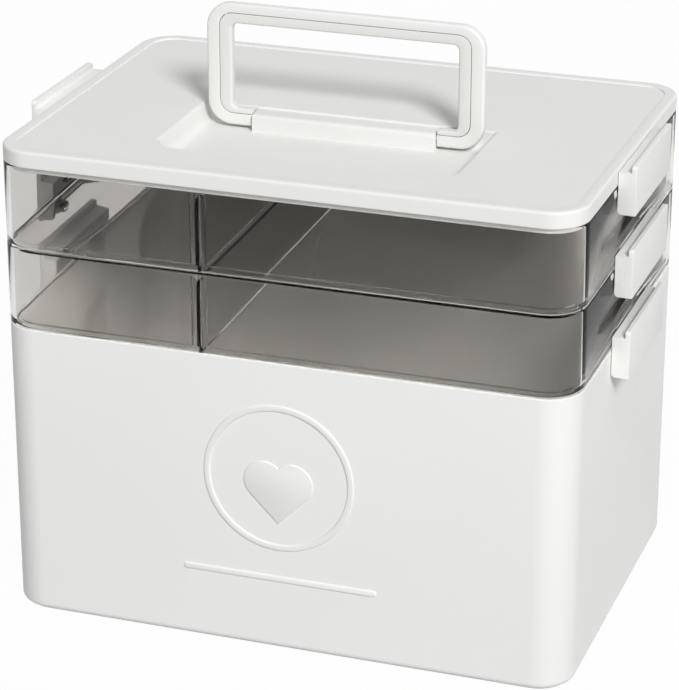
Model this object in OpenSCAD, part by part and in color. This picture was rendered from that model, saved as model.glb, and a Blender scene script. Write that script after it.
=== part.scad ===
// Medicine box in three layers: an opaque bin, two clear trays that nest on it, and a lid
// with a folding handle. Two latches close each joint. Sizes are in millimetres.
// The origin is the middle of the base on the ground, +Z is up and the front faces -Y.

/* [Box] */
// Width of the box, left to right
box_w = 280; // [230:1:340]
// Depth of the box, front to back
box_d = 198; // [160:1:260]
// Radius of the four upright corners
corner_r = 18; // [12:0.5:30]
// Height of the bin, from the ground to the first joint
bin_h = 148; // [60:1:220]
// Height of one tray, from joint to joint
tray_h = 40; // [34:1:80]
// Height of the lid above the last joint
lid_h = 8; // [7.6:0.1:14]

/* [Walls] */
// Wall of the bin
bin_wall = 2.4; // [1.6:0.1:4]
// Floor of the bin
bin_floor = 2.6; // [1.6:0.1:5]
// Wall of a tray
tray_wall = 2.2; // [1.4:0.1:3.5]
// Floor of a tray
tray_floor = 2; // [1.2:0.1:3]
// Skirt of the lid
lid_wall = 2.4; // [1.6:0.1:4]
// Thickness of the lid's top panel and of the recess in it
panel_t = 2.2; // [1.2:0.1:3]

/* [Base] */
// Height of the plinth that the box stands on
plinth_h = 1; // [0.6:0.1:3]
// Distance from the wall's face to the plinth
plinth_inset = 3.5; // [2:0.5:8]
// Rounding of the bin's lower edge
base_round = 3.5; // [1:0.5:6]

/* [Nesting] */
// How far the foot of a piece reaches into the piece below
nest_depth = 3; // [2:0.1:5]
// Gap between a foot and the wall around it
nest_clear = 0.4; // [0.2:0.05:1]
// Thickness of the ledge that stands on the wall below
ledge_t = 2; // [1.2:0.1:3]
// Gap left between a rim and the ledge on it
seat_gap = 0.3; // [0.1:0.05:0.5]

/* [Lid] */
// Width of the raised band around the lid's panel
band_w = 6; // [4:0.5:10]
// How far the panel lies below the band
panel_drop = 0.6; // [0.3:0.1:1.5]
// Rounding of the lid's upper edge
lid_round = 2.5; // [1:0.1:3.5]

/* [Handle] */
// Width of the handle
handle_w = 137.5; // [110:0.5:170]
// Height of the handle, from the foot's underside to the top
handle_h = 60; // [45:0.5:75]
// Thickness of the handle, front to back
handle_t = 5; // [4:0.1:8]
// Width of an upright post
post_w = 12.6; // [9:0.1:18]
// Height of the top bar
grip_h = 9.7; // [7:0.1:14]
// Height of a foot
foot_h = 8.4; // [6:0.1:10]
// Gap between the two feet
foot_gap = 92; // [60:1:98]
// Radius of the handle's outer corners
handle_r = 12; // [8:0.5:15]
// Radius of the opening's corners
opening_r = 3; // [1:0.5:5]
// Share of the outer half in a post
outer_post = 6.3; // [4.5:0.1:8]
// Share of the outer half in the top bar
outer_grip = 4.5; // [3:0.1:6]
// Share of the outer half in a foot
outer_foot = 5.8; // [5.6:0.1:6]
// Gap in the seam between the two halves
seam_gap = 0.15; // [0.05:0.05:0.3]

/* [Handle hinge] */
// Place of the hinge axis behind the middle of the box
pivot_y = -4; // [-12:0.1:0]
// Depth of the hinge axis below the panel
pivot_sink = 3.7; // [3:0.1:5]
// Radius of the pivot stubs
pivot_r = 1.5; // [1:0.1:2]
// Length of a pivot stub
pivot_len = 4; // [2:0.1:8]
// Running clearance of the pivots and hinge bars
run_clear = 0.05; // [0.02:0.01:0.1]
// Room around the feet as they turn
swing_clear = 0.5; // [0.3:0.1:1.5]
// Gap between a foot and the hinge block
foot_clear = 0.5; // [0.3:0.1:1.5]
// Depth of the hinge block's top below the panel
block_sink = 1; // [0.4:0.1:1.4]
// Distance of the hinge block's crest in front of the hinge axis
block_crest = 1.5; // [0:0.1:4]
// Radius of the hinge block's upper front edge
block_round = 2.8; // [2.4:0.1:6]
// Slope of the hinge block's front, in degrees
block_slope = 76; // [50:1:84]

/* [Handle recess] */
// Width of the room beside the folded handle
side_room = 1.8; // [0.8:0.1:4]
// Room in front of the folded handle
grip_room = 9; // [2:0.5:14]
// How far the recess's side walls lean out
wall_lean = 2; // [0:0.1:4]
// Radius of the recess's front corners, seen from above
recess_r = 12; // [6:0.5:20]

/* [Latch] */
// Width of a latch
latch_w = 68; // [56:1:110]
// How far a latch stands out from the box
latch_out = 8.8; // [8:0.1:13]
// Reach of a latch below its joint
latch_drop = 13.5; // [13:0.1:16]
// Height of a latch's shelf above its joint
shelf_rise = 6.6; // [6.4:0.1:8]
// Height of the finger lip above the shelf
lip_rise = 3.4; // [1.5:0.1:5]
// Thickness of the outer plate and the lip
plate_t = 2.4; // [1.6:0.1:3]
// Thickness of the shelf and the end walls
skin_t = 1.7; // [1.2:0.1:2.2]
// Gap between a latch and the wall
latch_gap = 0.3; // [0.2:0.05:0.6]

/* [Latch hinge] */
// Distance of the hinge bar from the wall's face
bar_out = 2.9; // [2.7:0.1:3.5]
// Depth of the hinge bar below the joint
bar_drop = 11.4; // [11:0.1:11.8]
// Radius of the hinge bar
bar_r = 1.2; // [0.8:0.1:1.3]
// Outer radius of the clips that hold the bar
clip_r = 2; // [1.8:0.1:2.1]
// Width of a clip
clip_w = 5; // [3:0.5:8]
// Distance of a clip from the latch's middle
clip_pos = 20; // [16:0.5:21]
// Gap between a clip and the latch's cheeks
cheek_clear = 0.4; // [0.3:0.1:1]

/* [Latch hook] */
// How far the lug stands out from the wall
lug_out = 2.6; // [1.8:0.1:2.8]
// Height of the lug's underside above the joint
lug_low = 1.3; // [1.2:0.1:1.6]
// Height of the lug's top above the joint
lug_high = 4.4; // [4.2:0.1:4.4]
// Width of the lug
lug_w = 36; // [20:1:46]
// Gap between the lug's sloping face and the hook
hook_gap = 0.5; // [0.4:0.05:0.6]

/* [Dividers] */
// Place of the dividers, left of the middle when negative
divider_x = -39; // [-100:1:100]
// Thickness of a divider
divider_t = 1.8; // [1.2:0.1:3]
// Distance from a tray's joint above down to the divider's top
divider_sink = 6; // [5.5:0.5:16]
// Gap around a divider in its guides
divider_clear = 0.2; // [0.1:0.05:0.5]
// Width of a divider guide
guide_w = 7.2; // [6:0.1:14]
// Distance from a tray's joint above down to the top of a guide
guide_sink = 3.4; // [3.3:0.1:12]
// How far a guide stands out from the wall
guide_out = 2.6; // [1.5:0.1:5]

/* [Front relief] */
// Outer diameter of the raised ring
ring_d = 74; // [30:1:90]
// Width of the raised ring
ring_w = 3; // [1:0.5:6]
// Height of the ring's centre above the ground
ring_z = 90; // [50:1:100]
// Radius of the two lobes of the raised heart
lobe_r = 10; // [4:0.5:11]
// Length of the raised line under the ring
line_len = 96; // [20:1:150]
// Width of the raised line
line_w = 3; // [1:0.5:6]
// Height of the raised line above the ground
line_z = 38; // [12:1:46]
// How far the relief stands out from the wall
relief = 0.7; // [0.3:0.1:1.5]

/* [Hidden] */
$fn = 96;

white = "#e9e9e7";
smoke = [0.62, 0.61, 0.60, 0.45];
sink = 0.5;          // how far a raised feature runs into the wall that carries it

// Joints between the layers
joint_low = bin_h;
joint_mid = joint_low + tray_h;
joint_top = joint_mid + tray_h;

// Feet of the nested pieces
foot_on_bin = bin_wall + nest_clear;
foot_on_tray = tray_wall + nest_clear;

// Handle and its recess
panel_z = joint_top + lid_h - panel_drop;
pivot_z = panel_z - pivot_sink;
handle_z = pivot_z - foot_h / 2;
swing_r = sqrt(pow(foot_h / 2, 2) + pow(handle_t / 2, 2));
recess_floor = pivot_z - swing_r - swing_clear - 0.3;
recess_back = pivot_y + swing_r + swing_clear;
recess_front = pivot_y - (handle_h - foot_h / 2) - grip_room;
recess_mid = (recess_front + recess_back) / 2;
recess_half = handle_w / 2 + side_room;
block_half = foot_gap / 2 - foot_clear;
block_top = panel_z - block_sink;
crest_y = pivot_y - block_crest;
stub_r = pivot_r + run_clear;
core_half = block_half - pivot_len - 4;

// Latch
plate_in = latch_out - plate_t;
shelf_low = shelf_rise - skin_t;
heel_r = latch_drop - bar_drop;
ramp_sum = lug_high + 0.3;
hook_sum = ramp_sum + hook_gap * sqrt(2);
hook_low = hook_sum - 3.2;
hook_back = 4.4;
cheek_t = 1.8;
cheek_in = clip_w / 2 + cheek_clear;

// Tray floor, measured from the tray's own joint
floor_top = tray_floor - nest_depth;

// A rectangle with round corners, about the origin
module round_rect(w, d, r) {
    square([w - 2 * r, d], center = true);
    square([w, d - 2 * r], center = true);
    for (sx = [-1, 1], sy = [-1, 1])
        translate([sx * (w / 2 - r), sy * (d / 2 - r)])
            circle(r);
}

// The box's outline moved in by inset, extruded from one height to another
module slab(inset, z0, z1) {
    translate([0, 0, z0])
        linear_extrude(z1 - z0)
            round_rect(box_w - 2 * inset, box_d - 2 * inset, corner_r - inset);
}

// A wall that follows the box's outline between two insets
module wall_ring(inset0, inset1, z0, z1) {
    difference() {
        slab(inset0, z0, z1);
        slab(inset1, z0 - 1, z1 + 1);
    }
}

// Sweeps a profile around the box: its x is the way in from the outer face, its y the height
module sweep_around() {
    for (side = [0, 1, 2, 3]) {
        along = side % 2 == 0 ? box_w : box_d;
        across = side % 2 == 0 ? box_d : box_w;
        rotate([0, 0, 90 * side]) {
            translate([-(along / 2 - corner_r), -across / 2, 0])
                rotate([90, 0, 90])
                    linear_extrude(along - 2 * corner_r)
                        children();
            translate([along / 2 - corner_r, -(across / 2 - corner_r), 0])
                rotate([0, 0, -90])
                    rotate_extrude(angle = 90)
                        translate([corner_r, 0])
                            mirror([1, 0])
                                children();
        }
    }
}

// What a round edge takes off a square one. dir is 1 for an upper edge and -1 for a lower one
module edge_cut(r, z, dir) {
    difference() {
        translate([-1, dir > 0 ? z - r : z - 1])
            square([r + 1, r + 1]);
        translate([r, z - dir * r])
            circle(r);
    }
}

// Extrudes a shape drawn as [x, z] along Y, centred
module along_y(len) {
    rotate([90, 0, 0])
        linear_extrude(len, center = true)
            children();
}

// Extrudes a shape drawn as [y, z] along X, centred
module along_x(len) {
    rotate([90, 0, 90])
        linear_extrude(len, center = true)
            children();
}

// Places what is drawn for the right side on both sides, or on one
module on_side(side) {
    if (side > 0) translate([box_w / 2, 0, 0]) children();
    else mirror([1, 0, 0]) translate([box_w / 2, 0, 0]) children();
}

// Two clips on each side that hold the hinge bars of the latches at the joint
module latch_clips(joint) {
    for (side = [-1, 1])
        on_side(side)
            for (sy = [-1, 1])
                translate([0, sy * clip_pos, joint])
                    along_y(clip_w)
                        difference() {
                            union() {
                                translate([-sink, -bar_drop - clip_r])
                                    square([sink + bar_out, 2 * clip_r]);
                                translate([bar_out, -bar_drop])
                                    circle(clip_r);
                            }
                            translate([bar_out, -bar_drop])
                                circle(bar_r + run_clear);
                            translate([bar_out - 0.75 * bar_r, -bar_drop - 2 * clip_r])
                                square([1.5 * bar_r, 2 * clip_r]);
                        }
}

// The lugs that the latch hooks pull down on, above the joint
module latch_lugs(joint) {
    for (side = [-1, 1])
        on_side(side)
            translate([0, 0, joint])
                along_y(lug_w)
                    polygon([
                        [-sink, lug_low],
                        [lug_out, lug_low],
                        [lug_out, ramp_sum - lug_out],
                        [ramp_sum - lug_high, lug_high],
                        [-sink, lug_high]
                    ]);
}

// Raised ring, heart and line on the front of the bin
module front_relief() {
    translate([0, -box_d / 2 + sink, 0])
        rotate([90, 0, 0])
            linear_extrude(relief + sink) {
                translate([0, ring_z])
                    difference() {
                        circle(d = ring_d);
                        circle(d = ring_d - 2 * ring_w);
                    }
                translate([0, ring_z - lobe_r * 0.9])
                    rotate(45) {
                        square(2 * lobe_r, center = true);
                        translate([lobe_r, 0]) circle(lobe_r);
                        translate([0, lobe_r]) circle(lobe_r);
                    }
                translate([0, line_z]) {
                    square([line_len - line_w, line_w], center = true);
                    for (sx = [-1, 1])
                        translate([sx * (line_len - line_w) / 2, 0])
                            circle(d = line_w);
                }
            }
}

module bin() {
    color(white) {
        difference() {
            slab(0, plinth_h, bin_h - seat_gap);
            slab(bin_wall, plinth_h + bin_floor, bin_h + 1);
            sweep_around() edge_cut(base_round, plinth_h, -1);
        }
        slab(plinth_inset, 0, plinth_h + bin_floor / 2);
        front_relief();
        latch_clips(joint_low);
    }
}

// Two rails inside the front and back walls, with a slot each for a divider's ends
module divider_guides(joint) {
    inner = box_d / 2 - tray_wall;
    for (facing = [0, 180])
        rotate([0, 0, facing])
            translate([cos(facing) * divider_x, inner, joint])
                difference() {
                    translate([-guide_w / 2, -guide_out, ledge_t - sink])
                        cube([guide_w, guide_out + sink, tray_h - guide_sink - ledge_t + sink]);
                    translate([-divider_t / 2 - divider_clear, -guide_out - 1, ledge_t])
                        cube([divider_t + 2 * divider_clear, guide_out + 1, tray_h]);
                }
}

// An open tray. foot is how far its foot is set in from the outer face
module tray(joint, foot) {
    wall_ring(0, tray_wall, joint, joint + tray_h - seat_gap);
    wall_ring(0, foot + tray_wall, joint, joint + ledge_t);
    wall_ring(foot, foot + tray_wall, joint - nest_depth, joint + ledge_t);
    slab(foot, joint - nest_depth, joint + floor_top);
    divider_guides(joint);
    latch_clips(joint + tray_h);
    latch_lugs(joint);
}

module lower_tray() {
    color(smoke) tray(joint_low, foot_on_bin);
}

module upper_tray() {
    color(smoke) tray(joint_mid, foot_on_tray);
}

// A partition across a tray. Its lower corners step over the ledge inside the walls
module divider(joint, foot) {
    half = box_d / 2 - tray_wall - divider_clear;
    half_low = box_d / 2 - foot - tray_wall - divider_clear;
    top = joint + tray_h - divider_sink;
    translate([divider_x, 0, 0])
        along_x(divider_t) {
            translate([-half, joint + ledge_t + divider_clear])
                square([2 * half, top - joint - ledge_t - divider_clear]);
            translate([-half_low, joint + floor_top + divider_clear])
                square([2 * half_low, ledge_t - floor_top + 1]);
        }
}

module lower_divider() {
    color(smoke) divider(joint_low, foot_on_bin);
}

module upper_divider() {
    color(smoke) divider(joint_mid, foot_on_tray);
}

// The room that the handle folds into: its side walls lean out, its front corners are round.
// t makes it larger by the panel's thickness, for the outside of the tub around it
module recess(t, top) {
    low = recess_floor - t;
    len = recess_back - recess_front + 2 * t;
    half = recess_half + t;
    rim = half + wall_lean;
    intersection() {
        translate([0, recess_mid, low])
            linear_extrude(top - low) {
                round_rect(2 * rim, len, recess_r + t);
                translate([-rim, 0]) square([2 * rim, len / 2]);
            }
        along_y(box_d)
            polygon([
                [-half, low - 1], [half, low - 1], [half, low], [rim, panel_z], [rim, top + 1],
                [-rim, top + 1], [-rim, panel_z], [-half, low]
            ]);
    }
}

// The hinge block's section as a shape in [y, z], made smaller by t all round
module block_section(t, low, back) {
    r = max(block_round - t, 0.3);
    s = block_slope;
    centre = [crest_y, block_top - t - r];
    fall = centre + r * [-sin(s), cos(s)];
    foot_y = fall[0] - (fall[1] - low) / tan(s);
    polygon([[back, low], [back, block_top - t], [crest_y, block_top - t], centre, fall, [foot_y, low]]);
    intersection() {
        translate(centre) circle(r);
        polygon([centre, centre + [0, 2 * r], centre + 2 * r * [-sin(s), cos(s)]]);
    }
}

// The block between the handle's feet, with a bore in each end for the pivot stubs
module hinge_block() {
    difference() {
        along_x(2 * block_half)
            block_section(0, recess_floor - sink, recess_back + sink);
        // Bores for the pivot stubs
        for (sx = [-1, 1])
            translate([sx * (block_half + 1), pivot_y, pivot_z])
                rotate([0, -sx * 90, 0])
                    cylinder(h = pivot_len + 2, r = stub_r);
    }
}

// What is taken out of the hinge block from below, to keep its wall even
module block_core() {
    along_x(2 * core_half)
        block_section(panel_t, recess_floor - 2 * panel_t, recess_back);
}

module lid() {
    color(white) {
        difference() {
            union() {
                hinge_block();
                lid_shell();
            }
            block_core();
        }
        latch_lugs(joint_top);
    }
}

// The lid without its hinge block: panel, band, skirt, locating rib and the tub of the recess
module lid_shell() {
    difference() {
        union() {
            wall_ring(0, lid_wall, joint_top, joint_top + lid_h);
            wall_ring(0, band_w, panel_z - panel_t, joint_top + lid_h);
            slab(lid_wall / 2, panel_z - panel_t, panel_z);
            wall_ring(foot_on_tray, foot_on_tray + lid_wall, joint_top - nest_depth, panel_z - panel_t / 2);
            wall_ring(0, foot_on_tray + lid_wall, joint_top, joint_top + ledge_t);
            recess(panel_t, panel_z - panel_t / 2);
        }
        recess(0, panel_z + 1);
        sweep_around() edge_cut(lid_round, joint_top + lid_h, 1);
    }
}

// Outline of the handle moved in by the three margins, with its corner radius
module handle_outline(side, above, below, r) {
    w = handle_w - 2 * side;
    h = handle_h - above - below;
    translate([0, handle_z + below + h / 2])
        round_rect(w, h, r);
}

// Cuts the gap between the feet
module between_feet() {
    translate([-foot_gap / 2, handle_z - 1])
        square([foot_gap, foot_h + 2]);
}

module handle_outer() {
    color(white)
        translate([0, pivot_y, 0]) {
            along_y(handle_t)
                difference() {
                    handle_outline(0, 0, 0, handle_r);
                    handle_outline(outer_post, outer_grip, outer_foot, handle_r - outer_post + 1);
                    between_feet();
                }
            for (sx = [-1, 1])
                translate([sx * (foot_gap / 2 + 1), 0, pivot_z])
                    rotate([0, -sx * 90, 0])
                        cylinder(h = pivot_len + 1, r = pivot_r);
        }
}

module handle_inner() {
    seam_r = handle_r - outer_post + 1;
    color(white)
        translate([0, pivot_y, 0])
            along_y(handle_t)
                difference() {
                    handle_outline(outer_post + seam_gap, outer_grip + seam_gap, outer_foot + seam_gap,
                        seam_r - seam_gap);
                    handle_outline(post_w, grip_h, foot_h, opening_r);
                    between_feet();
                }
}

// A latch drawn for the right side at a joint: x is the way out from the wall's face
module latch_body() {
    // Outer plate and the finger lip above it
    translate([plate_in, 0, 0])
        rotate([90, 0, 90])
            linear_extrude(plate_t) {
                translate([-latch_w / 2, -latch_drop])
                    square([latch_w, latch_drop + shelf_rise]);
                translate([0, (shelf_rise + lip_rise) / 2])
                    round_rect(latch_w, shelf_rise + lip_rise, lip_rise);
            }
    // Shelf over the lug
    translate([latch_gap, -latch_w / 2, shelf_low])
        cube([latch_out - latch_gap - plate_t / 2, latch_w, skin_t]);
    // End walls, round at the heel so that they turn clear of the wall
    for (sy = [-1, 1])
        translate([0, sy * (latch_w - skin_t) / 2, 0])
            along_y(skin_t) {
                translate([latch_gap, -bar_drop])
                    square([plate_in - latch_gap + sink, bar_drop + shelf_rise - skin_t / 2]);
                translate([bar_out, -latch_drop])
                    square([plate_in - bar_out + sink, 2 * heel_r]);
                translate([bar_out, -bar_drop])
                    circle(heel_r);
            }
    // Hook under the shelf
    along_y(lug_w + 4)
        polygon([
            [hook_sum - shelf_low, shelf_low + sink],
            [hook_sum - shelf_low, shelf_low],
            [hook_sum - hook_low, hook_low],
            [hook_back, hook_low],
            [hook_back, shelf_low + sink]
        ]);
    // Cheeks beside each clip, joined by the hinge bar
    for (sy = [-1, 1])
        translate([0, sy * clip_pos, 0]) {
            for (sc = [-1, 1])
                translate([0, sc * (cheek_in + cheek_t / 2), 0])
                    along_y(cheek_t) {
                        translate([bar_out, -bar_drop - heel_r])
                            square([plate_in - bar_out + sink, 2 * heel_r]);
                        translate([bar_out, -bar_drop])
                            circle(heel_r);
                    }
            translate([bar_out, 0, -bar_drop])
                rotate([90, 0, 0])
                    cylinder(h = 2 * cheek_in + cheek_t, r = bar_r, center = true);
        }
}

module latch(joint, side) {
    color(white)
        on_side(side)
            translate([0, 0, joint])
                latch_body();
}

module base_latch_left() {
    latch(joint_low, -1);
}

module base_latch_right() {
    latch(joint_low, 1);
}

module tray_latch_left() {
    latch(joint_mid, -1);
}

module tray_latch_right() {
    latch(joint_mid, 1);
}

module lid_latch_left() {
    latch(joint_top, -1);
}

module lid_latch_right() {
    latch(joint_top, 1);
}

bin();
lower_tray();
upper_tray();
lid();
handle_outer();
handle_inner();
lower_divider();
upper_divider();
base_latch_left();
base_latch_right();
tray_latch_left();
tray_latch_right();
lid_latch_left();
lid_latch_right();
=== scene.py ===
import itertools
import math

import bmesh
import bpy
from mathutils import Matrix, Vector


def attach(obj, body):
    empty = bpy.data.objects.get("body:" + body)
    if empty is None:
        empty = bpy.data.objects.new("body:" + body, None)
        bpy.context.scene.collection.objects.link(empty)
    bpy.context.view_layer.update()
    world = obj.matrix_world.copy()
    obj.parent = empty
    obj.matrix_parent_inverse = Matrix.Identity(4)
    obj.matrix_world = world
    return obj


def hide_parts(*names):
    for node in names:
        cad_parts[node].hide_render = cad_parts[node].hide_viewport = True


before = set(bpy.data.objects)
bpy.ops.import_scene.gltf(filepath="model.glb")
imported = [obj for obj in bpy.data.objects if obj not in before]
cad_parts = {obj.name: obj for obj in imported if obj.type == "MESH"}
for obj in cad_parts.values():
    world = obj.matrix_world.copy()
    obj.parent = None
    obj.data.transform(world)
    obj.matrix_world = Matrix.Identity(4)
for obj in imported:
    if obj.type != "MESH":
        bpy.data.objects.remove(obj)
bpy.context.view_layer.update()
print("frame loaded:", len(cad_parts), "nodes")

mm = 0.001

# sizes that several pieces share, in millimetres
box = {
    "width": 280.0, "depth": 198.0,
    "cornerR": 18.0, "cornerSteps": 18,     # upright corners, and the segments in each
    "binH": 148.0, "trayH": 40.0, "lidH": 8.0,
    "panelDrop": 0.6,       # from the lid's raised band down to its panel
    "nest": 3.0,            # how far a piece reaches down into the one below
    "nestGap": 0.4, "seatGap": 0.3, "ledge": 2.0,
    "root": 0.5,            # how far a raised feature runs into what carries it
}
halfW, halfD = box["width"] / 2, box["depth"] / 2
jointLow = box["binH"]
jointMid = jointLow + box["trayH"]
jointTop = jointMid + box["trayH"]
panelZ = jointTop + box["lidH"] - box["panelDrop"]


# mesh helpers

def angles(start, end, steps):
    # evenly spaced angles from start to end, given in degrees
    return [math.radians(start + (end - start) * i / steps) for i in range(steps + 1)]


def arc(cx, cy, r, start, end, steps):
    return [(cx + r * math.cos(a), cy + r * math.sin(a)) for a in angles(start, end, steps)]


def circle(cx, cy, r, steps=24):
    return arc(cx, cy, r, 0, 360, steps)[:-1]


def between(start, end, steps):
    # evenly spaced values after start, up to end
    return [start + (end - start) * i / steps for i in range(1, steps + 1)]


def boxLoop(inset, z):
    # the box's outline moved in by inset, at height z
    r = box["cornerR"] - inset
    x, y = halfW - inset - r, halfD - inset - r
    pts = []
    for sx, sy, start in ((1, 1, 0), (-1, 1, 90), (-1, -1, 180), (1, -1, 270)):
        pts += arc(sx * x, sy * y, r, start, start + 90, box["cornerSteps"])
    return [(px, py, z) for px, py in pts]


def loft(bm, loops, capStart=True, capEnd=True, closed=True):
    # joins loops of equal length with quads
    rows = [[bm.verts.new(point) for point in loop] for loop in loops]
    count = len(rows[0])
    for row, nextRow in zip(rows, rows[1:]):
        for i in range(count if closed else count - 1):
            j = (i + 1) % count
            bm.faces.new((row[i], row[j], nextRow[j], nextRow[i]))
    if capStart:
        bm.faces.new(list(reversed(rows[0])))
    if capEnd:
        bm.faces.new(rows[-1])
    return rows


def prism(bm, outline, low, high, place):
    # extrudes a flat outline between two depths; place turns (u, v, depth) into x, y, z
    loft(bm, [[place(u, v, depth) for u, v in outline] for depth in (low, high)])


def alongX(u, v, depth):
    return depth, u, v


def alongY(u, v, depth):
    return u, depth, v


def onSide(side, joint):
    # for an outline drawn outward from a side wall and upward from a joint
    return lambda u, v, depth: (side * (halfW + u), depth, joint + v)


cellSides = {
    (1, 0, 0): ((1, 0, 0), (1, 1, 0), (1, 1, 1), (1, 0, 1)),
    (-1, 0, 0): ((0, 0, 0), (0, 0, 1), (0, 1, 1), (0, 1, 0)),
    (0, 1, 0): ((0, 1, 0), (0, 1, 1), (1, 1, 1), (1, 1, 0)),
    (0, -1, 0): ((0, 0, 0), (1, 0, 0), (1, 0, 1), (0, 0, 1)),
    (0, 0, 1): ((0, 0, 1), (1, 0, 1), (1, 1, 1), (0, 1, 1)),
    (0, 0, -1): ((0, 0, 0), (0, 1, 0), (1, 1, 0), (1, 0, 0)),
}


def cellBlock(bm, xs, ys, zs, filled):
    # a right-angled solid made of the filled cells of a grid
    counts = (len(xs) - 1, len(ys) - 1, len(zs) - 1)
    verts = {}

    def corner(i, j, k):
        if (i, j, k) not in verts:
            verts[(i, j, k)] = bm.verts.new((xs[i], ys[j], zs[k]))
        return verts[(i, j, k)]

    def isFull(*cell):
        return all(0 <= place < count for place, count in zip(cell, counts)) and filled(*cell)

    for i, j, k in itertools.product(*map(range, counts)):
        if not filled(i, j, k):
            continue
        for (di, dj, dk), quad in cellSides.items():
            if not isFull(i + di, j + dj, k + dk):
                bm.faces.new([corner(i + a, j + b, k + c) for a, b, c in quad])
    # flat neighbours become one face, so that only real edges are left to round
    bm.normal_update()
    bmesh.ops.dissolve_limit(bm, angle_limit=0.01, verts=bm.verts, edges=bm.edges)


def roundEdges(bm, width, steps, edges=None, angleDeg=35):
    # rounds the given edges, or else all that turn by more than an angle
    if edges is None:
        limit = math.radians(angleDeg)
        edges = [e for e in bm.edges if len(e.link_faces) == 2 and e.calc_face_angle(0.0) > limit]
    bmesh.ops.bevel(bm, geom=edges, offset=width, offset_type="OFFSET", segments=steps,
                    profile=0.5, affect="EDGES", clamp_overlap=True)


def edgesAt(bm, test):
    # edges whose two ends both pass the test
    return [e for e in bm.edges if test(e.verts[0].co) and test(e.verts[1].co)]


def near(a, b):
    return abs(a - b) < 0.01


def shadeSmooth(bm, sharpDeg=32):
    # smooth faces, and sharp edges where they turn by more than an angle
    limit = math.radians(sharpDeg)
    for face in bm.faces:
        face.smooth = True
    for edge in bm.edges:
        edge.smooth = len(edge.link_faces) == 2 and edge.calc_face_angle(0.0) < limit


def separateShells(bm):
    waiting = set(bm.faces)
    while waiting:
        shell, fresh = set(), {waiting.pop()}
        while fresh:
            shell |= fresh
            fresh = {other for face in fresh for edge in face.edges for other in edge.link_faces} - shell
        waiting -= shell
        yield shell


def faceOutward(bm):
    # turns each shell inside out that holds a negative volume
    bmesh.ops.recalc_face_normals(bm, faces=bm.faces)
    for shell in separateShells(bm):
        if sum(face.normal.dot(face.calc_center_median()) * face.calc_area() for face in shell) < 0:
            bmesh.ops.reverse_faces(bm, faces=list(shell))


def meshObject(name, bm):
    # links what was drawn in millimetres into the scene, in metres
    bmesh.ops.remove_doubles(bm, verts=bm.verts, dist=0.0001)
    faceOutward(bm)
    for vert in bm.verts:
        vert.co *= mm
    shadeSmooth(bm)
    mesh = bpy.data.meshes.new(name)
    bm.to_mesh(mesh)
    bm.free()
    thing = bpy.data.objects.new(name, mesh)
    bpy.context.collection.objects.link(thing)
    return thing


def makePiece(name, bm, material, body, node):
    # a piece that takes a CAD node's place and rides on its body
    piece = meshObject(name, bm)
    piece.data.materials.append(material)
    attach(piece, body)
    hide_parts(node)
    return piece


def weld(piece, solids, operation="UNION"):
    # makes one solid of a piece and what is moulded on it, or cuts away
    for solid in solids:
        joint = piece.modifiers.new("weld", "BOOLEAN")
        joint.operation = operation
        joint.solver = "EXACT"
        joint.object = solid
        bpy.context.view_layer.objects.active = piece
        bpy.ops.object.modifier_apply(modifier=joint.name)
        bpy.data.objects.remove(solid, do_unlink=True)


def addShapes(piece, shapes):
    # adds open shapes that lie on a piece's surface to its mesh, without welding them
    bm = bmesh.new()
    bm.from_mesh(piece.data)
    bm.from_mesh(shapes.data)
    bm.to_mesh(piece.data)
    bm.free()
    bpy.data.objects.remove(shapes, do_unlink=True)


def reshade(piece):
    # sets smooth and sharp anew after welding
    bm = bmesh.new()
    bm.from_mesh(piece.data)
    shadeSmooth(bm)
    bm.to_mesh(piece.data)
    bm.free()


# finishes

whiteFinish = {
    "shell": {"warm": (0.812, 0.812, 0.794), "cool": (0.792, 0.792, 0.777), "roughness": 0.50},
    "lid": {"warm": (0.812, 0.812, 0.794), "cool": (0.792, 0.792, 0.777), "roughness": 0.46},
    "handle": {"warm": (0.826, 0.826, 0.806), "cool": (0.806, 0.806, 0.789), "roughness": 0.44},
    "grip": {"warm": (0.771, 0.771, 0.750), "cool": (0.751, 0.751, 0.733), "roughness": 0.46},
    "latch": {"warm": (0.845, 0.845, 0.828), "cool": (0.825, 0.825, 0.811), "roughness": 0.48},
}
satin = {
    "ior": 1.48, "shine": 0.3,
    "cloudScale": 18.0, "cloudDetail": 3.0,             # faint clouds in the colour
    "patchScale": 55.0, "patchSpread": 0.03,            # patches a little rougher or smoother
    "grainScale": 2600.0, "grain": 0.05, "grainDepth": 0.0001,
}
smokeFinish = {
    "tint": (0.77, 0.76, 0.745), "ior": 1.15,
    "lampTint": (0.90, 0.895, 0.89),        # what the lamps' light keeps on its way through
    "roughness": 0.03, "polishScale": 40.0, "polishSpread": 0.4,
}


def newMaterial(name):
    material = bpy.data.materials.new(name)
    material.use_nodes = True
    tree = material.node_tree
    return material, tree, tree.nodes["Principled BSDF"]


def addNoise(tree, scale, detail=2.0):
    place = tree.nodes.new("ShaderNodeTexCoord")
    noise = tree.nodes.new("ShaderNodeTexNoise")
    noise.inputs["Scale"].default_value = scale
    noise.inputs["Detail"].default_value = detail
    tree.links.new(place.outputs["Object"], noise.inputs["Vector"])
    return noise


def spread(tree, noise, low, high):
    # maps a noise onto a narrow range; nearly all of it lies between 0.3 and 0.7
    ranger = tree.nodes.new("ShaderNodeMapRange")
    for socket, value in (("From Min", 0.3), ("From Max", 0.7), ("To Min", low), ("To Max", high)):
        ranger.inputs[socket].default_value = value
    tree.links.new(noise.outputs["Fac"], ranger.inputs["Value"])
    return ranger.outputs["Result"]


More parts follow.
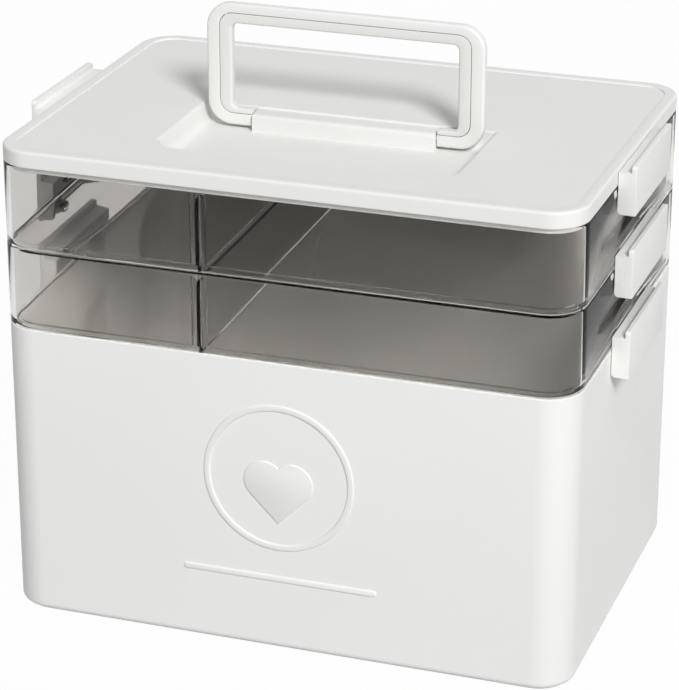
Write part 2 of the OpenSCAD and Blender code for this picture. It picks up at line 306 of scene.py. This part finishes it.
def mixShaders(tree, share, first, second, output):
    # shows the first shader where share is 0 and the second where it is 1
    mix = tree.nodes.new("ShaderNodeMixShader")
    tree.links.new(share, mix.inputs["Fac"])
    tree.links.new(first, mix.inputs[1])
    tree.links.new(second, mix.inputs[2])
    tree.links.new(mix.outputs["Shader"], tree.nodes[output].inputs["Surface"])


def whitePlastic(part):
    # satin moulded plastic: faint cloudiness and a very fine grain
    finish = whiteFinish[part]
    material, tree, shader = newMaterial(part + "White")
    cloud = addNoise(tree, satin["cloudScale"], satin["cloudDetail"])
    blend = tree.nodes.new("ShaderNodeMix")
    blend.data_type = "RGBA"
    blend.inputs["A"].default_value = (*finish["warm"], 1)
    blend.inputs["B"].default_value = (*finish["cool"], 1)
    tree.links.new(cloud.outputs["Fac"], blend.inputs["Factor"])
    tree.links.new(blend.outputs["Result"], shader.inputs["Base Color"])
    rough, change = finish["roughness"], satin["patchSpread"]
    patches = spread(tree, addNoise(tree, satin["patchScale"]), rough - change, rough + change)
    tree.links.new(patches, shader.inputs["Roughness"])
    grain = addNoise(tree, satin["grainScale"])
    bump = tree.nodes.new("ShaderNodeBump")
    bump.inputs["Strength"].default_value = satin["grain"]
    bump.inputs["Distance"].default_value = satin["grainDepth"]
    tree.links.new(grain.outputs["Fac"], bump.inputs["Height"])
    tree.links.new(bump.outputs["Normal"], shader.inputs["Normal"])
    shader.inputs["IOR"].default_value = satin["ior"]
    shader.inputs["Specular IOR Level"].default_value = satin["shine"]
    return material


def smokePlastic():
    # polished clear plastic with a grey tint; lamps reach what lies behind it
    material, tree, shader = newMaterial("smokeClear")
    shader.inputs["Base Color"].default_value = (*smokeFinish["tint"], 1)
    shader.inputs["Transmission Weight"].default_value = 1.0
    shader.inputs["IOR"].default_value = smokeFinish["ior"]
    rough, change = smokeFinish["roughness"], smokeFinish["polishSpread"]
    polish = addNoise(tree, smokeFinish["polishScale"])
    tree.links.new(spread(tree, polish, rough * (1 - change), rough * (1 + change)),
                   shader.inputs["Roughness"])
    window = tree.nodes.new("ShaderNodeBsdfTransparent")
    window.inputs["Color"].default_value = (*smokeFinish["lampTint"], 1)
    rays = tree.nodes.new("ShaderNodeLightPath")
    mixShaders(tree, rays.outputs["Is Shadow Ray"], shader.outputs["BSDF"],
               window.outputs["BSDF"], "Material Output")
    return material


white = {part: whitePlastic(part) for part in whiteFinish}
smokeClear = smokePlastic()
print("finishes made")


# clips and lugs, moulded on the side walls

clip = {
    "out": 2.9, "drop": 11.4,       # the bore's middle, from the wall and below the joint
    "r": 2.0, "bore": 1.25,
    "slot": 0.9,                    # half the width of the opening below
    "w": 5.0, "at": 20.0,           # width, and distance from the latch's middle
}
lug = {
    "out": 2.6, "low": 1.3, "high": 4.4, "w": 36.0, "edge": 0.3,
    "slope": 0.3,                   # how far above the top the sloping face would meet the wall
}


def clipOutline():
    # the clip's section, from the wall out and around the bore, open below
    c = clip
    boreAngle = math.degrees(math.acos(c["slot"] / c["bore"]))
    rimAngle = math.degrees(math.acos(c["slot"] / c["r"]))
    pts = [(-box["root"], -c["drop"] - c["r"]), (c["out"] - c["slot"], -c["drop"] - c["r"])]
    pts += arc(c["out"], -c["drop"], c["bore"], 180 + boreAngle, -boreAngle, 14)
    pts += arc(c["out"], -c["drop"], c["r"], -rimAngle, 90, 12)
    pts += [(-box["root"], -c["drop"] + c["r"])]
    return pts


def lugOutline():
    top = lug["high"] + lug["slope"]
    return [(-box["root"], lug["low"]), (lug["out"], lug["low"]), (lug["out"], top - lug["out"]),
            (lug["slope"], lug["high"]), (-box["root"], lug["high"])]


def sideClips(joint):
    solids = []
    for side in (-1, 1):
        for y in (-clip["at"], clip["at"]):
            bm = bmesh.new()
            prism(bm, clipOutline(), y - clip["w"] / 2, y + clip["w"] / 2, onSide(side, joint))
            solids.append(meshObject("clip", bm))
    return solids


def sideLugs(joint):
    solids = []
    for side in (-1, 1):
        bm = bmesh.new()
        prism(bm, lugOutline(), -lug["w"] / 2, lug["w"] / 2, onSide(side, joint))
        roundEdges(bm, lug["edge"], 2)
        solids.append(meshObject("lug", bm))
    return solids


# bin

binShell = {
    "wall": 2.4, "floor": 3.6,
    "plinthH": 1.0, "plinthInset": 3.5, "plinthEdge": 0.4,
    "baseRound": 3.5, "rimRound": 0.7, "floorRound": 3.0,
}
relief = {
    "rise": 0.7, "root": 0.12,      # height above the wall's face, and depth in it
    "soft": 0.75, "spread": 0.35,   # width of the soft edge, and its share outside the outline
    "steps": 6,
    "ringR": 37.0, "ringW": 3.0, "ringZ": 90.0,
    "lobeR": 10.0, "heartDrop": 9.0,
    "lineLen": 96.0, "lineW": 3.0, "lineZ": 38.0,
}
footOnBin = binShell["wall"] + box["nestGap"]       # inset of what nests in the bin


def binProfile():
    b = binShell
    edge, inset, base = b["plinthEdge"], b["plinthInset"], b["baseRound"]
    wall, rim, fillet = b["wall"], b["rimRound"], b["floorRound"]
    top = box["binH"] - box["seatGap"]
    pts = arc(inset + edge, edge, edge, 270, 180, 2)
    pts += [(inset, b["plinthH"])]
    pts += arc(base, b["plinthH"] + base, base, 266, 180, 9)
    pts += arc(rim, top - rim, rim, 180, 90, 4)
    pts += arc(wall - rim, top - rim, rim, 90, 0, 4)
    pts += arc(wall + fillet, b["floor"] + fillet, fillet, 180, 270, 6)
    return pts


def heartOutline():
    # two round lobes on a square that stands on its corner
    r = relief["lobeR"]
    reach = r * math.sqrt(0.5)
    return [(0.0, -2 * reach)] + arc(reach, reach, r, -45, 135, 22) + arc(-reach, reach, r, 45, 225, 22)[1:]


def lineOutline():
    half = (relief["lineLen"] - relief["lineW"]) / 2
    r = relief["lineW"] / 2
    return arc(half, 0, r, -90, 90, 10) + arc(-half, 0, r, 90, 270, 10)


def softEdge():
    # how far each loop of a soft edge lies outside the outline, and how high above the wall
    rows = []
    for k in range(relief["steps"] + 1):
        share = k / relief["steps"]
        swell = 0.5 - 0.5 * math.cos(math.pi * share)
        rows.append((relief["spread"] - relief["soft"] * share,
                     (relief["rise"] + relief["root"]) * swell - relief["root"]))
    return rows


def emboss(bm, outline, centreZ):
    # a raised flat shape with a soft edge, on the front wall
    normals = []
    for i in range(len(outline)):
        (ax, az), (bx, bz) = outline[i - 1], outline[(i + 1) % len(outline)]
        length = math.hypot(bx - ax, bz - az)
        normals.append(((bz - az) / length, (ax - bx) / length))
    loft(bm, [[(x + nx * grow, -halfD - rise, centreZ + z + nz * grow)
               for (x, z), (nx, nz) in zip(outline, normals)] for grow, rise in softEdge()],
         capStart=False)


def embossRing(bm):
    # a raised ring with a soft edge on both sides
    outerR = relief["ringR"]
    innerR = outerR - relief["ringW"]
    section = [(outerR + grow, rise) for grow, rise in softEdge()]
    section += [(innerR + outerR - r, rise) for r, rise in reversed(section)]
    loft(bm, [[(x, -halfD - rise, z) for x, z in circle(0, relief["ringZ"], r, 96)]
              for r, rise in section], False, False)


def makeBin():
    bm = bmesh.new()
    loft(bm, [boxLoop(inset, z) for inset, z in binProfile()])
    piece = makePiece("binShell", bm, white["shell"], "bin", "bin")
    weld(piece, sideClips(jointLow))
    bm = bmesh.new()
    embossRing(bm)
    emboss(bm, heartOutline(), relief["ringZ"] - relief["heartDrop"])
    emboss(bm, lineOutline(), relief["lineZ"])
    addShapes(piece, meshObject("relief", bm))
    reshade(piece)


makeBin()
print("bin made")


# trays and dividers

tray = {
    "wall": 2.2, "floor": 2.0, "rimRound": 0.7,
    "footRound": 1.2, "seatRound": 0.5,             # lower edges of the foot and of the wall
    "wallFillet": 0.8, "ledgeRound": 0.5, "floorFillet": 1.0,
}
divider = {"x": -39.0, "t": 1.8, "sink": 6.0, "clear": 0.2, "cornerR": 3.0, "edge": 0.4}
guide = {"w": 7.2, "out": 2.6, "sink": 3.4, "edge": 0.4}
footOnTray = tray["wall"] + box["nestGap"]          # inset of what nests in a tray


def trayProfile(joint, foot):
    t = tray
    wall, rim, ledge = t["wall"], t["rimRound"], joint + box["ledge"]
    low = joint - box["nest"]
    top = joint + box["trayH"] - box["seatGap"]
    pts = arc(foot + t["footRound"], low + t["footRound"], t["footRound"], 270, 180, 4)
    pts += [(foot, joint)]
    pts += arc(t["seatRound"], joint + t["seatRound"], t["seatRound"], 270, 180, 3)
    pts += arc(rim, top - rim, rim, 180, 90, 4)
    pts += arc(wall - rim, top - rim, rim, 90, 0, 4)
    pts += arc(wall + t["wallFillet"], ledge + t["wallFillet"], t["wallFillet"], 180, 270, 3)
    inner = foot + wall
    pts += arc(inner - t["ledgeRound"], ledge - t["ledgeRound"], t["ledgeRound"], 90, 0, 3)
    pts += arc(inner + t["floorFillet"], low + t["floor"] + t["floorFillet"], t["floorFillet"], 180, 270, 4)
    return pts


def guideRails(joint):
    # two rails on the front wall and two on the back wall, with the divider's slot between them
    solids = []
    inner = halfD - tray["wall"]
    slot = divider["t"] / 2 + divider["clear"]
    zs = (joint + box["ledge"] - box["root"], joint + box["trayH"] - guide["sink"])
    for side in (-1, 1):
        ys = sorted((side * (inner - guide["out"]), side * (inner + box["root"])))
        for start, end in ((-guide["w"] / 2, -slot), (slot, guide["w"] / 2)):
            bm = bmesh.new()
            cellBlock(bm, (divider["x"] + start, divider["x"] + end), ys, zs, lambda i, j, k: True)
            roundEdges(bm, guide["edge"], 3)
            solids.append(meshObject("guideRail", bm))
    return solids


def makeTray(name, node, joint, foot):
    bm = bmesh.new()
    loft(bm, [boxLoop(inset, z) for inset, z in trayProfile(joint, foot)])
    piece = makePiece(name, bm, smokeClear, node, node)
    weld(piece, guideRails(joint) + sideClips(joint + box["trayH"]) + sideLugs(joint))
    reshade(piece)


def makeDivider(name, node, body, joint, foot):
    d = divider
    half = halfD - tray["wall"] - d["clear"]
    halfLow = halfD - foot - tray["wall"] - d["clear"]
    low = joint - box["nest"] + tray["floor"] + d["clear"]
    step = joint + box["ledge"] + d["clear"]
    top = joint + box["trayH"] - d["sink"]
    r = d["cornerR"]
    outline = [(-halfLow, low), (halfLow, low), (halfLow, step), (half, step)]
    outline += arc(half - r, top - r, r, 0, 90, 6)
    outline += arc(r - half, top - r, r, 90, 180, 6)
    outline += [(-half, step), (-halfLow, step)]
    bm = bmesh.new()
    prism(bm, outline, d["x"] - d["t"] / 2, d["x"] + d["t"] / 2, alongX)
    roundEdges(bm, d["edge"], 3, angleDeg=50)
    makePiece(name, bm, smokeClear, body, node)


makeTray("lowerTray", "lower_tray", jointLow, footOnBin)
makeTray("upperTray", "upper_tray", jointMid, footOnTray)
makeDivider("lowerDivider", "lower_divider", "lower_tray", jointLow, footOnBin)
makeDivider("upperDivider", "upper_divider", "upper_tray", jointMid, footOnTray)
print("trays and dividers made")


# the handle's sizes, which the lid follows too

handle = {
    "w": 137.5, "h": 60.0, "t": 5.0,
    "post": 12.6, "grip": 9.7, "foot": 8.4, "gap": 92.0,        # gap between the two feet
    "cornerR": 12.0, "openR": 3.0, "round": 1.2,
    "outerPost": 6.3, "outerGrip": 4.5, "outerFoot": 5.8,       # share of the outer half
    "seam": 0.35, "seamR": 6.7, "seamRound": 0.2,
    "footEnd": ((0.0, 0.5), (0.15, 0.2), (0.5, 0.0)),           # how far in, and how much smaller
}
hinge = {
    "y": -4.0, "sink": 3.7,         # the axis, seen from the box's middle and from the panel
    "stubR": 1.5, "stubLen": 4.0, "stubTip": 0.4, "stubRoot": 0.6, "clear": 0.05,
}
pivotZ = panelZ - hinge["sink"]
swingR = math.hypot(handle["foot"] / 2, handle["t"] / 2)        # reach of a foot's corners as it turns


# lid

lid = {
    "wall": 2.4, "panel": 2.2, "band": 6.0, "edgeRound": 1.4, "skirtRound": 0.5,
    "underFillet": 0.8, "ribIn": 0.5, "ribOut": 0.7,
    "margin": 0.4,          # flat stretch beside a rounding, so that the big faces shade flat
    # soft step inside the band: its crest seen from the band's top, its groove from the panel
    "crest": ((-0.3, 0.0), (-0.12, -0.05), (-0.02, -0.18), (0.0, -0.32), (0.04, -0.5)),
    "groove": ((0.12, -0.1), (0.22, -0.15), (0.36, -0.13), (0.5, -0.04), (0.62, 0.0), (1.0, 0.0)),
}
recess = {
    "sideRoom": 3.8, "gripRoom": 9.0, "footRoom": 0.5, "floorRoom": 0.8,    # round the folded handle
    "sideLean": 2.6, "endLean": 0.35, "cornerR": 12.0, "backR": 1.2,
    "fillet": 5.0, "rim": 1.4, "backRim": 0.4,
    # the outside under the panel: how far in at the sides and above its underside, and the ends' share
    "tub": ((1.0, 3.0), (1.6, 1.2), (2.8, 0.2), (4.2, 0.0)), "tubEnds": 0.8,
}
hingeBlock = {
    "footGap": 0.5, "sink": 1.0,            # from the handle's feet, and below the panel
    "crest": 2.8, "round": 2.0, "slopeDeg": 87.0,       # crest's distance in front of the axis
    "endRound": 0.4, "rootDown": 1.4,
    "coreEnd": 4.0, "coreRound": 0.3, "boreRoom": 1.0,
}
recessHalf = handle["w"] / 2 + recess["sideRoom"]
recessFront = hinge["y"] - (handle["h"] - handle["foot"] / 2) - recess["gripRoom"]
recessBack = hinge["y"] + swingR + recess["footRoom"]
recessFloor = pivotZ - swingR - recess["floorRoom"]
blockHalf = handle["gap"] / 2 - hingeBlock["footGap"]


def fillBetween(bm, outer, inner):
    # flat ring of triangles between two loops in one plane
    edges = []
    for loop in (outer, inner):
        for i, vert in enumerate(loop):
            after = loop[(i + 1) % len(loop)]
            edges.append(bm.edges.get((vert, after)) or bm.edges.new((vert, after)))
    bmesh.ops.triangle_fill(bm, use_beauty=True, use_dissolve=False, edges=edges)


def lidProfile(foot):
    # from the underside's edge, round the locating rib, skirt and band, to the panel's edge
    p = lid
    fillet, ribIn, ribOut = p["underFillet"], p["ribIn"], p["ribOut"]
    skirt, edge, margin = p["skirtRound"], p["edgeRound"], p["margin"]
    low, top = jointTop, jointTop + box["lidH"]
    rib = low - box["nest"]
    under = panelZ - p["panel"]
    inner = foot + p["wall"]
    pts = [(inner + fillet + margin, under)]
    pts += arc(inner + fillet, under - fillet, fillet, 90, 180, 3)
    pts += arc(inner - ribIn, rib + ribIn, ribIn, 0, -90, 3)
    pts += arc(foot + ribOut, rib + ribOut, ribOut, -90, -180, 3)
    pts += [(foot, low)]
    pts += arc(skirt, low + skirt, skirt, 270, 180, 3)
    pts += [(0.0, low + skirt + margin), (0.0, top - edge - margin)]
    pts += arc(edge, top - edge, edge, 180, 90, 8)
    pts += [(p["band"] + inset, top + rise) for inset, rise in p["crest"]]
    pts += [(p["band"] + inset, panelZ + rise) for inset, rise in p["groove"]]
    return pts


def wallInset(z, lean):
    # how far in a recess wall stands at height z: a leaning wall with a fillet at the floor
    r = recess["fillet"]
    deep = panelZ - recessFloor
    slant = math.hypot(lean, deep)
    rise = z - recessFloor
    if rise >= r * (1 - lean / slant):
        return lean * (deep - rise) / deep
    centre = lean + r * (slant - lean) / deep
    return centre - math.sqrt(r * r - (r - rise) ** 2)


def recessLoop(side, front, back, z, grow=0.0):
    # the recess's outline moved in on each side: round in front, nearly square behind
    half = recessHalf + grow - side
    low, high = recessFront - grow + front, recessBack + grow - back
    frontR = recess["cornerR"] + grow - (side + front) / 2
    backR = recess["backR"] + grow
    pts = []
    for sx, y, r, start in ((1, high - backR, backR, 0), (-1, high - backR, backR, 90),
                            (-1, low + frontR, frontR, 180), (1, low + frontR, frontR, 270)):
        pts += arc(sx * (half - r), y, r, start, start + 90, 12)
    return [(px, py, z) for px, py in pts]


def recessLoops():
    # from the panel over the rounded rim and down the wall to the fillet and the floor
    rim, backRim, fillet, margin = recess["rim"], recess["backRim"], recess["fillet"], lid["margin"]
    # heights, and the share of the rim's rounding that is still open there
    rows = [(panelZ - rim * (1 - math.cos(a)), 1 - math.sin(a)) for a in angles(0, 90, 5)]
    rows += [(z, 0.0) for z in between(panelZ - rim, recessFloor + fillet, 4)]
    rows += [(recessFloor + fillet * (1 - math.cos(a)), 0.0) for a in angles(80, 0, 10)]
    loops = [recessLoop(-rim - margin, -rim - margin, -backRim - margin, panelZ)]
    for z, share in rows:
        side, end = wallInset(z, recess["sideLean"]), wallInset(z, recess["endLean"])
        loops.append(recessLoop(side - rim * share, end - rim * share, end - backRim * share, z))
    return loops


def tubLoops():
    # the outside of the recess, hanging under the panel
    t, ends = lid["panel"], recess["tubEnds"]
    rows = [(0.0, panelZ - t)] + [(inset, recessFloor - t + rise) for inset, rise in recess["tub"]]
    return [recessLoop(inset, inset * ends, inset * ends, z, t) for inset, z in rows]


def blockSection(thinner, low, back):
    # the hinge block's section from its back over the crest and down its front
    b = hingeBlock
    r = max(b["round"] - thinner, b["coreRound"])
    top = panelZ - b["sink"] - thinner
    crest = hinge["y"] - b["crest"]
    pts = [(back, low), (back, top)]
    pts += [(y, top) for y in between(back, crest, 3)[:-1]]
    pts += arc(crest, top - r, r, 90, 90 + b["slopeDeg"], 10)
    y, z = pts[-1]
    pts.append((y - (z - low) / math.tan(math.radians(b["slopeDeg"])), low))
    return pts


def shrunk(section, amount):
    # the section with its upper line moved in, for a rounded end
    pts = [section[0]]
    for (ay, az), (y, z), (by, bz) in zip(section, section[1:], section[2:]):
        length = math.hypot(by - ay, bz - az)
        pts.append((y - (bz - az) / length * amount, z + (by - ay) / length * amount))
    return pts + [section[-1]]


def makeHingeBlock():
    r = hingeBlock["endRound"]
    section = blockSection(0.0, recessFloor - hingeBlock["rootDown"], recessBack + box["root"])
    ends = [(blockHalf - r + r * math.sin(a), r * (1 - math.cos(a))) for a in angles(0, 90, 4)]
    stations = [(-x, smaller) for x, smaller in reversed(ends)] + ends
    bm = bmesh.new()
    loft(bm, [[(x, y, z) for y, z in shrunk(section, smaller)] for x, smaller in stations])
    return meshObject("hingeBlock", bm)


def makeCore():
    # what is cut out of the hinge block from below, to keep its wall even
    t = lid["panel"]
    half = blockHalf - hinge["stubLen"] - hingeBlock["coreEnd"]
    bm = bmesh.new()
    prism(bm, blockSection(t, recessFloor - 2 * t, recessBack), -half, half, alongX)
    return meshObject("core", bm)


def makeBore(side):
    # room for a pivot stub in one end of the hinge block
    room = hingeBlock["boreRoom"]
    bm = bmesh.new()
    prism(bm, circle(hinge["y"], pivotZ, hinge["stubR"] + hinge["clear"]),
          side * (blockHalf - hinge["stubLen"] - room), side * (blockHalf + room), alongX)
    return meshObject("bore", bm)


def makeLid():
    bm = bmesh.new()
    outside = loft(bm, [boxLoop(inset, z) for inset, z in lidProfile(footOnTray)], False, False)
    hollow = loft(bm, recessLoops(), False, True)
    fillBetween(bm, outside[-1], hollow[0])
    tub = loft(bm, tubLoops(), False, True)
    fillBetween(bm, outside[0], tub[0])
    piece = makePiece("lidShell", bm, white["lid"], "lid", "lid")
    weld(piece, [makeHingeBlock()] + sideLugs(jointTop))
    weld(piece, [makeCore(), makeBore(-1), makeBore(1)], "DIFFERENCE")
    reshade(piece)


makeLid()
print("lid made")


# handle

def handlePath(side, above, below, r):
    # an open outline from one foot's end over the grip to the other foot's end
    end = handle["gap"] / 2
    x = handle["w"] / 2 - side
    low = pivotZ - handle["foot"] / 2 + below
    top = low - below + handle["h"] - above
    pts = [(end, low)] + [(px, low) for px in between(end, x - r, 3)[:-1]]
    pts += arc(x - r, low + r, r, -90, 0, 10)
    pts += arc(x - r, top - r, r, 0, 90, 10)
    return pts + [(-px, pz) for px, pz in reversed(pts)]


def strapSection(a, b, roundA, roundB, shrink):
    # a rounded rectangle between the path points a and b
    halfT = handle["t"] / 2
    length = math.hypot(b[0] - a[0], b[1] - a[1])
    ux, uz = (b[0] - a[0]) / length, (b[1] - a[1]) / length
    pts = []
    for r, along, sy, start in ((roundA, roundA, -1, 180), (roundB, length - roundB, -1, 270),
                                (roundB, length - roundB, 1, 0), (roundA, roundA, 1, 90)):
        for u, v in arc(along, sy * (halfT - r), r, start, start + 90, 4):
            u = min(max(u, shrink), length - shrink)
            v = min(max(v, shrink - halfT), halfT - shrink)
            pts.append((a[0] + ux * u, hinge["y"] + v, a[1] + uz * u))
    return pts


def strap(bm, pathA, pathB, roundA, roundB):
    # the flat strap between two outlines, with softened ends
    last = len(pathA) - 1
    ends = {0: handle["footEnd"], last: [(-off, smaller) for off, smaller in reversed(handle["footEnd"])]}
    loops = []
    for i, (a, b) in enumerate(zip(pathA, pathB)):
        for off, smaller in ends.get(i, [(0.0, 0.0)]):
            loops.append(strapSection((a[0] + off, a[1]), (b[0] + off, b[1]), roundA, roundB, smaller))
    loft(bm, loops)


def stub(bm, side):
    # a pivot that runs into the bore in the hinge block's end
    r, tip = hinge["stubR"], hinge["stubTip"]
    root = handle["gap"] / 2 + hinge["stubRoot"]
    end = handle["gap"] / 2 - hinge["stubLen"]
    loft(bm, [[(side * x, y, z) for y, z in circle(hinge["y"], pivotZ, width)]
              for x, width in ((root, r), (end + tip, r), (end, r - tip))])


def makeHandle():
    h = handle
    s = h["seam"]
    outer = handlePath(0, 0, 0, h["cornerR"])
    seamOut = handlePath(h["outerPost"], h["outerGrip"], h["outerFoot"], h["seamR"])
    seamIn = handlePath(h["outerPost"] + s, h["outerGrip"] + s, h["outerFoot"] + s, h["seamR"] - s)
    opening = handlePath(h["post"], h["grip"], h["foot"], h["openR"])
    bm = bmesh.new()
    strap(bm, outer, seamOut, h["round"], h["seamRound"])
    stub(bm, 1)
    stub(bm, -1)
    makePiece("handleOuter", bm, white["handle"], "handle", "handle_outer")
    bm = bmesh.new()
    strap(bm, seamIn, opening, h["seamRound"], h["round"])
    makePiece("handleInner", bm, white["grip"], "handle", "handle_inner")


makeHandle()
print("handle made")


# latches

latch = {
    "w": 68.0, "gap": 0.3, "out": 8.8, "drop": 13.5, "edge": 0.2,
    "plate": 2.4, "skin": 1.7, "shelf": 6.6, "lip": 3.4, "lipRound": 1.7,
    "hookGap": 0.5, "hookReach": 3.2, "hookBack": 4.4, "hookPast": 2.0,
    "barR": 1.2, "cheekT": 1.8, "cheekGap": 0.4,
}
plateIn = latch["out"] - latch["plate"]
shelfLow = latch["shelf"] - latch["skin"]
heelR = latch["drop"] - clip["drop"]


def addLatchShell(bm):
    # plate with finger lip, shelf and end walls, open behind and below
    p = latch
    half = p["w"] / 2
    lipTop = p["shelf"] + p["lip"]
    cellBlock(bm, (p["gap"], plateIn, p["out"]), (-half, p["skin"] - half, half - p["skin"], half),
              (-p["drop"], shelfLow, p["shelf"], lipTop),
              lambda i, j, k: i == 1 or k == 1 or (k == 0 and j != 1))
    roundEdges(bm, heelR, 5, edgesAt(bm, lambda c: near(c.x, p["gap"]) and near(c.z, -p["drop"])))
    for end in (-half, half):
        roundEdges(bm, p["lipRound"], 7, edgesAt(bm, lambda c: near(c.y, end) and near(c.z, lipTop)))
    roundEdges(bm, p["edge"], 3)


def addHook(bm):
    # hangs under the shelf and holds the lug's sloping face
    p = latch
    slope = lug["high"] + lug["slope"] + p["hookGap"] * math.sqrt(2)
    low, high = slope - p["hookReach"], shelfLow + box["root"]
    half = lug["w"] / 2 + p["hookPast"]
    prism(bm, [(slope - shelfLow, high), (slope - shelfLow, shelfLow), (p["hookReach"], low),
               (p["hookBack"], low), (p["hookBack"], high)], -half, half, alongY)


def addHingeBars(bm):
    # a bar for each clip, between two cheeks
    t = latch["cheekT"]
    x, z, back = clip["out"], -clip["drop"], plateIn + box["root"]
    cheek = [(back, z - heelR), (back, z + heelR)] + arc(x, z, heelR, 90, 270, 12)
    reach = clip["w"] / 2 + latch["cheekGap"] + t / 2       # to the middle of a cheek
    for y in (-clip["at"], clip["at"]):
        for mid in (y - reach, y + reach):
            prism(bm, cheek, mid - t / 2, mid + t / 2, alongY)
        prism(bm, circle(x, z, latch["barR"]), y - reach, y + reach, alongY)


def makeLatch(level, joint, sideName, side):
    bm = bmesh.new()
    addLatchShell(bm)
    addHook(bm)
    addHingeBars(bm)
    for vert in bm.verts:
        vert.co = Vector((side * (halfW + vert.co.x), vert.co.y, joint + vert.co.z))
    node = level + "_latch_" + sideName
    makePiece(level + "Latch" + sideName.capitalize(), bm, white["latch"], node, node)


for level, joint in (("base", jointLow), ("tray", jointMid), ("lid", jointTop)):
    for sideName, side in (("left", -1), ("right", 1)):
        makeLatch(level, joint, sideName, side)
print("latches made")


# camera, floor and light, in metres and degrees

shot = {
    "place": (0.425842, -1.241898, 0.663801), "azimuth": 19.102, "elevation": 22.563,
    "lens": 151.487, "sensor": 36.0,
}
studio = {
    "floorSize": 14.0, "floorDrop": 0.0005, "floorColour": (0.60, 0.60, 0.60), "floorGlow": 0.97,
    "floorRoughness": 0.9, "floorShine": 0.1,
    "domeStrength": 0.36,
    "keyAzimuth": 39.5, "keyElevation": 38.5, "keyDistance": 9.0, "keySize": 2.6, "keyPower": 664.0,
    "keyAim": 0.15,         # height that the lamp points at
}


def makeCamera():
    camera = bpy.data.objects.new("photoCamera", bpy.data.cameras.new("photoCamera"))
    bpy.context.collection.objects.link(camera)
    camera.data.sensor_fit = "VERTICAL"
    camera.data.sensor_height = shot["sensor"]
    camera.data.lens = shot["lens"]
    camera.location = shot["place"]
    camera.rotation_euler = (math.radians(90 - shot["elevation"]), 0, math.radians(shot["azimuth"]))
    bpy.context.scene.camera = camera


def seenShare(tree):
    # 1 where the camera sees the surface itself, a gloss of it or what clear plastic shows of it
    rays = tree.nodes.new("ShaderNodeLightPath")
    share = rays.outputs["Is Camera Ray"]
    for kind in ("Is Glossy Ray", "Is Transmission Ray"):
        larger = tree.nodes.new("ShaderNodeMath")
        larger.operation = "MAXIMUM"
        tree.links.new(share, larger.inputs[0])
        tree.links.new(rays.outputs[kind], larger.inputs[1])
        share = larger.outputs[0]
    return share


def makeFloor():
    # pale paper that mostly shows as white and still takes the object's shadow
    half, z = studio["floorSize"] / 2, -studio["floorDrop"]
    bm = bmesh.new()
    loft(bm, [[(-half, y, z), (half, y, z)] for y in (-half, half)], False, False, closed=False)
    mesh = bpy.data.meshes.new("studioFloor")
    bm.to_mesh(mesh)
    bm.free()
    floor = bpy.data.objects.new("studioFloor", mesh)
    bpy.context.collection.objects.link(floor)
    material, tree, shader = newMaterial("floorPaper")
    shader.inputs["Base Color"].default_value = (*studio["floorColour"], 1)
    shader.inputs["Roughness"].default_value = studio["floorRoughness"]
    shader.inputs["Specular IOR Level"].default_value = studio["floorShine"]
    glow = tree.nodes.new("ShaderNodeEmission")
    share = tree.nodes.new("ShaderNodeMath")
    share.operation = "MULTIPLY"
    share.inputs[1].default_value = studio["floorGlow"]
    tree.links.new(seenShare(tree), share.inputs[0])
    mixShaders(tree, share.outputs[0], shader.outputs["BSDF"], glow.outputs["Emission"], "Material Output")
    mesh.materials.append(material)


def makeWorld():
    # white to look at, dimmer as a light
    world = bpy.data.worlds.new("studioWorld")
    world.use_nodes = True
    bpy.context.scene.world = world
    tree = world.node_tree
    dome = tree.nodes["Background"]
    seen = tree.nodes.new("ShaderNodeBackground")
    for back, strength in ((dome, studio["domeStrength"]), (seen, 1.0)):
        back.inputs["Color"].default_value = (1, 1, 1, 1)
        back.inputs["Strength"].default_value = strength
    mixShaders(tree, seenShare(tree), dome.outputs["Background"], seen.outputs["Background"], "World Output")


def makeKey():
    # one large soft lamp, from the front and right
    lamp = bpy.data.objects.new("keyLamp", bpy.data.lights.new("keyLamp", "AREA"))
    bpy.context.collection.objects.link(lamp)
    lamp.data.shape = "DISK"
    lamp.data.size = studio["keySize"]
    lamp.data.energy = studio["keyPower"]
    az, el = math.radians(studio["keyAzimuth"]), math.radians(studio["keyElevation"])
    way = Vector((math.sin(az) * math.cos(el), -math.cos(az) * math.cos(el), math.sin(el)))
    lamp.location = Vector((0, 0, studio["keyAim"])) + way * studio["keyDistance"]
    lamp.rotation_euler = way.to_track_quat("Z", "Y").to_euler()


makeCamera()
makeFloor()
makeWorld()
makeKey()
bpy.context.scene.view_settings.view_transform = "Standard"
print("camera, floor and light made")
